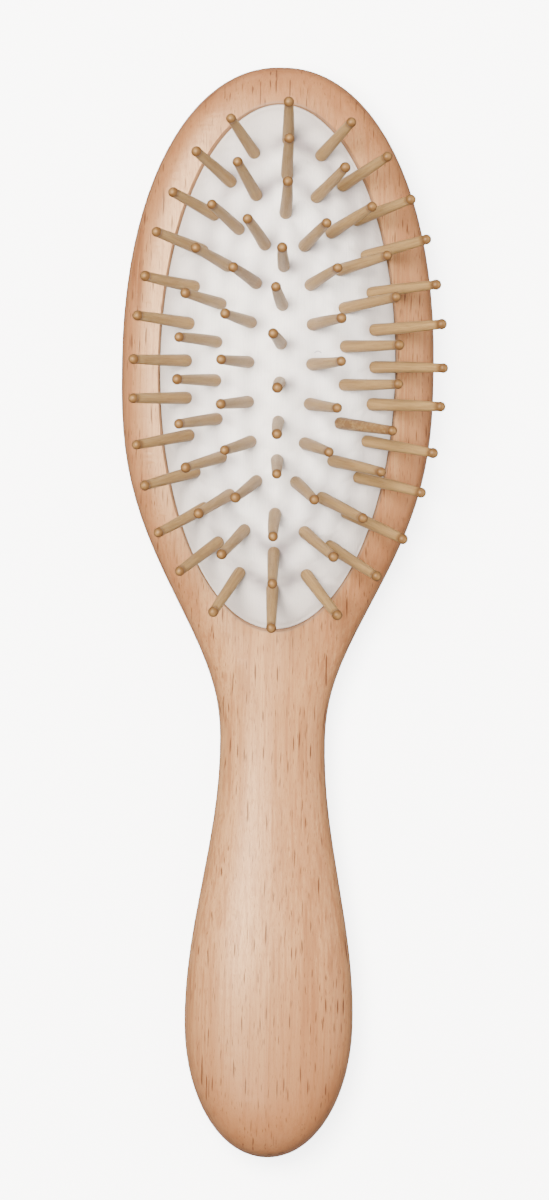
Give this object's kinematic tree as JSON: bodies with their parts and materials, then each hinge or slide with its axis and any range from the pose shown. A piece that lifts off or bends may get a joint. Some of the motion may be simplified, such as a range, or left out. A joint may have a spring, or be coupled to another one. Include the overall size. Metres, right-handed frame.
{
  "type": "hairbrush",
  "caption": "Oval wooden hairbrush with a sprung white air cushion, rings of ball-tipped wooden pins and a waisted handle.",
  "frame": {"origin": "below the centre of the cushion's oval opening, on the flat back that the brush rests on", "axes": "+X across the brush, +Y along it from the handle to the head, +Z the way the pins point"},
  "size_m": [0.0655, 0.22, 0.0446],
  "materials": {
    "paddle_wood": "satin lacquered beech",
    "pin_wood": "plain turned hornbeam",
    "membrane_rubber": "natural rubber",
    "facing_cloth": "fine plain weave"
  },
  "bodies": {
    "paddle": {"brush_body": "paddle_wood"},
    "cushion": {"cushion_membrane": "membrane_rubber", "cushion_facing": "facing_cloth"},
    "rim_top": {"pins_rim_top": "pin_wood"},
    "rim_left_1": {"pins_rim_left_1": "pin_wood"},
    "rim_left_2": {"pins_rim_left_2": "pin_wood"},
    "rim_left_3": {"pins_rim_left_3": "pin_wood"},
    "rim_bottom": {"pins_rim_bottom": "pin_wood"},
    "rim_right_3": {"pins_rim_right_3": "pin_wood"},
    "rim_right_2": {"pins_rim_right_2": "pin_wood"},
    "rim_right_1": {"pins_rim_right_1": "pin_wood"},
    "outer_top": {"pins_outer_top": "pin_wood"},
    "outer_left_1": {"pins_outer_left_1": "pin_wood"},
    "outer_left_2": {"pins_outer_left_2": "pin_wood"},
    "outer_bottom": {"pins_outer_bottom": "pin_wood"},
    "outer_right_2": {"pins_outer_right_2": "pin_wood"},
    "outer_right_1": {"pins_outer_right_1": "pin_wood"},
    "inner_top": {"pins_inner_top": "pin_wood"},
    "inner_left": {"pins_inner_left": "pin_wood"},
    "inner_bottom": {"pins_inner_bottom": "pin_wood"},
    "inner_right": {"pins_inner_right": "pin_wood"},
    "centre_1": {"pins_centre_1": "pin_wood"},
    "centre_2": {"pins_centre_2": "pin_wood"}
  },
  "joints": [
    {"name": "cushion_press", "type": "slide", "parent": "paddle", "child": "cushion", "axis": [0, 0, -1], "range_m": [0, 0.0035], "stiffness_N_per_m": 5700, "deforming": ["cushion_membrane", "cushion_facing"]},
    {"name": "rock_rim_top", "type": "hinge", "parent": "cushion", "child": "rim_top", "pos_m": [0.00138, 0.04321, 0.01684], "axis": [-0.9985, 0.0215, 0.0507], "range_deg": [-12, 12], "stiffness_Nm_per_rad": 0.3},
    {"name": "rock_rim_left_1", "type": "hinge", "parent": "cushion", "child": "rim_left_1", "pos_m": [-0.01336, 0.02628, 0.01815], "axis": [-0.3095, -0.9503, 0.0345], "range_deg": [-12, 12], "stiffness_Nm_per_rad": 0.4},
    {"name": "rock_rim_left_2", "type": "hinge", "parent": "cushion", "child": "rim_left_2", "pos_m": [-0.01752, 0.00089, 0.0185], "axis": [-0.02, -0.9998, -0.0072], "range_deg": [-12, 12], "stiffness_Nm_per_rad": 0.3},
    {"name": "rock_rim_left_3", "type": "hinge", "parent": "cushion", "child": "rim_left_3", "pos_m": [-0.01439, -0.02461, 0.01792], "axis": [0.269, -0.9625, -0.0345], "range_deg": [-12, 12], "stiffness_Nm_per_rad": 0.4},
    {"name": "rock_rim_bottom", "type": "hinge", "parent": "cushion", "child": "rim_bottom", "pos_m": [-0.00042, -0.04212, 0.01728], "axis": [0.9997, -0.0219, 0.0106], "range_deg": [-12, 12], "stiffness_Nm_per_rad": 0.3},
    {"name": "rock_rim_right_3", "type": "hinge", "parent": "cushion", "child": "rim_right_3", "pos_m": [0.01419, -0.02523, 0.01791], "axis": [0.3071, 0.9515, 0.0181], "range_deg": [-12, 12], "stiffness_Nm_per_rad": 0.4},
    {"name": "rock_rim_right_2", "type": "hinge", "parent": "cushion", "child": "rim_right_2", "pos_m": [0.01835, 0.00011, 0.01792], "axis": [0.022, 0.9996, -0.0179], "range_deg": [-12, 12], "stiffness_Nm_per_rad": 0.3},
    {"name": "rock_rim_right_1", "type": "hinge", "parent": "cushion", "child": "rim_right_1", "pos_m": [0.01529, 0.02566, 0.01715], "axis": [-0.2664, 0.9632, -0.036], "range_deg": [-12, 12], "stiffness_Nm_per_rad": 0.4},
    {"name": "rock_outer_top", "type": "hinge", "parent": "cushion", "child": "outer_top", "pos_m": [0.00119, 0.03514, 0.01948], "axis": [-0.999, 0.0195, 0.0396], "range_deg": [-12, 12], "stiffness_Nm_per_rad": 0.3},
    {"name": "rock_outer_left_1", "type": "hinge", "parent": "cushion", "child": "outer_left_1", "pos_m": [-0.01018, 0.01587, 0.02128], "axis": [-0.1757, -0.9833, 0.0476], "range_deg": [-12, 12], "stiffness_Nm_per_rad": 0.4},
    {"name": "rock_outer_left_2", "type": "hinge", "parent": "cushion", "child": "outer_left_2", "pos_m": [-0.0108, -0.0144, 0.02122], "axis": [0.1353, -0.9896, -0.0496], "range_deg": [-12, 12], "stiffness_Nm_per_rad": 0.4},
    {"name": "rock_outer_bottom", "type": "hinge", "parent": "cushion", "child": "outer_bottom", "pos_m": [-0.00025, -0.03416, 0.01977], "axis": [0.9997, -0.0222, 0.0042], "range_deg": [-12, 12], "stiffness_Nm_per_rad": 0.3},
    {"name": "rock_outer_right_2", "type": "hinge", "parent": "cushion", "child": "outer_right_2", "pos_m": [0.01102, -0.01488, 0.02109], "axis": [0.1747, 0.984, 0.0363], "range_deg": [-12, 12], "stiffness_Nm_per_rad": 0.4},
    {"name": "rock_outer_right_1", "type": "hinge", "parent": "cushion", "child": "outer_right_1", "pos_m": [0.01166, 0.0154, 0.02077], "axis": [-0.1326, 0.9897, -0.0548], "range_deg": [-12, 12], "stiffness_Nm_per_rad": 0.4},
    {"name": "rock_inner_top", "type": "hinge", "parent": "cushion", "child": "inner_top", "pos_m": [0.00102, 0.02603, 0.02173], "axis": [-0.9993, 0.019, 0.0316], "range_deg": [-12, 12], "stiffness_Nm_per_rad": 0.3},
    {"name": "rock_inner_left", "type": "hinge", "parent": "cushion", "child": "inner_left", "pos_m": [-0.00509, 0.00062, 0.02337], "axis": [-0.0202, -0.9998, 0.0008], "range_deg": [-12, 12], "stiffness_Nm_per_rad": 0.5},
    {"name": "rock_inner_bottom", "type": "hinge", "parent": "cushion", "child": "inner_bottom", "pos_m": [-0.00002, -0.02507, 0.02192], "axis": [0.9998, -0.0217, -0.0044], "range_deg": [-12, 12], "stiffness_Nm_per_rad": 0.3},
    {"name": "rock_inner_right", "type": "hinge", "parent": "cushion", "child": "inner_right", "pos_m": [0.00607, 0.00037, 0.02318], "axis": [0.0202, 0.9998, -0.0063], "range_deg": [-12, 12], "stiffness_Nm_per_rad": 0.5},
    {"name": "rock_centre_1", "type": "hinge", "parent": "cushion", "child": "centre_1", "pos_m": [0.0008, 0.01198, 0.0236], "axis": [0.0166, 0.9967, -0.0793], "range_deg": [-12, 12], "stiffness_Nm_per_rad": 0.3},
    {"name": "rock_centre_2", "type": "hinge", "parent": "cushion", "child": "centre_2", "pos_m": [0.00027, -0.01098, 0.02368], "axis": [0.0226, 0.9972, 0.0717], "range_deg": [-12, 12], "stiffness_Nm_per_rad": 0.3}
  ]
}
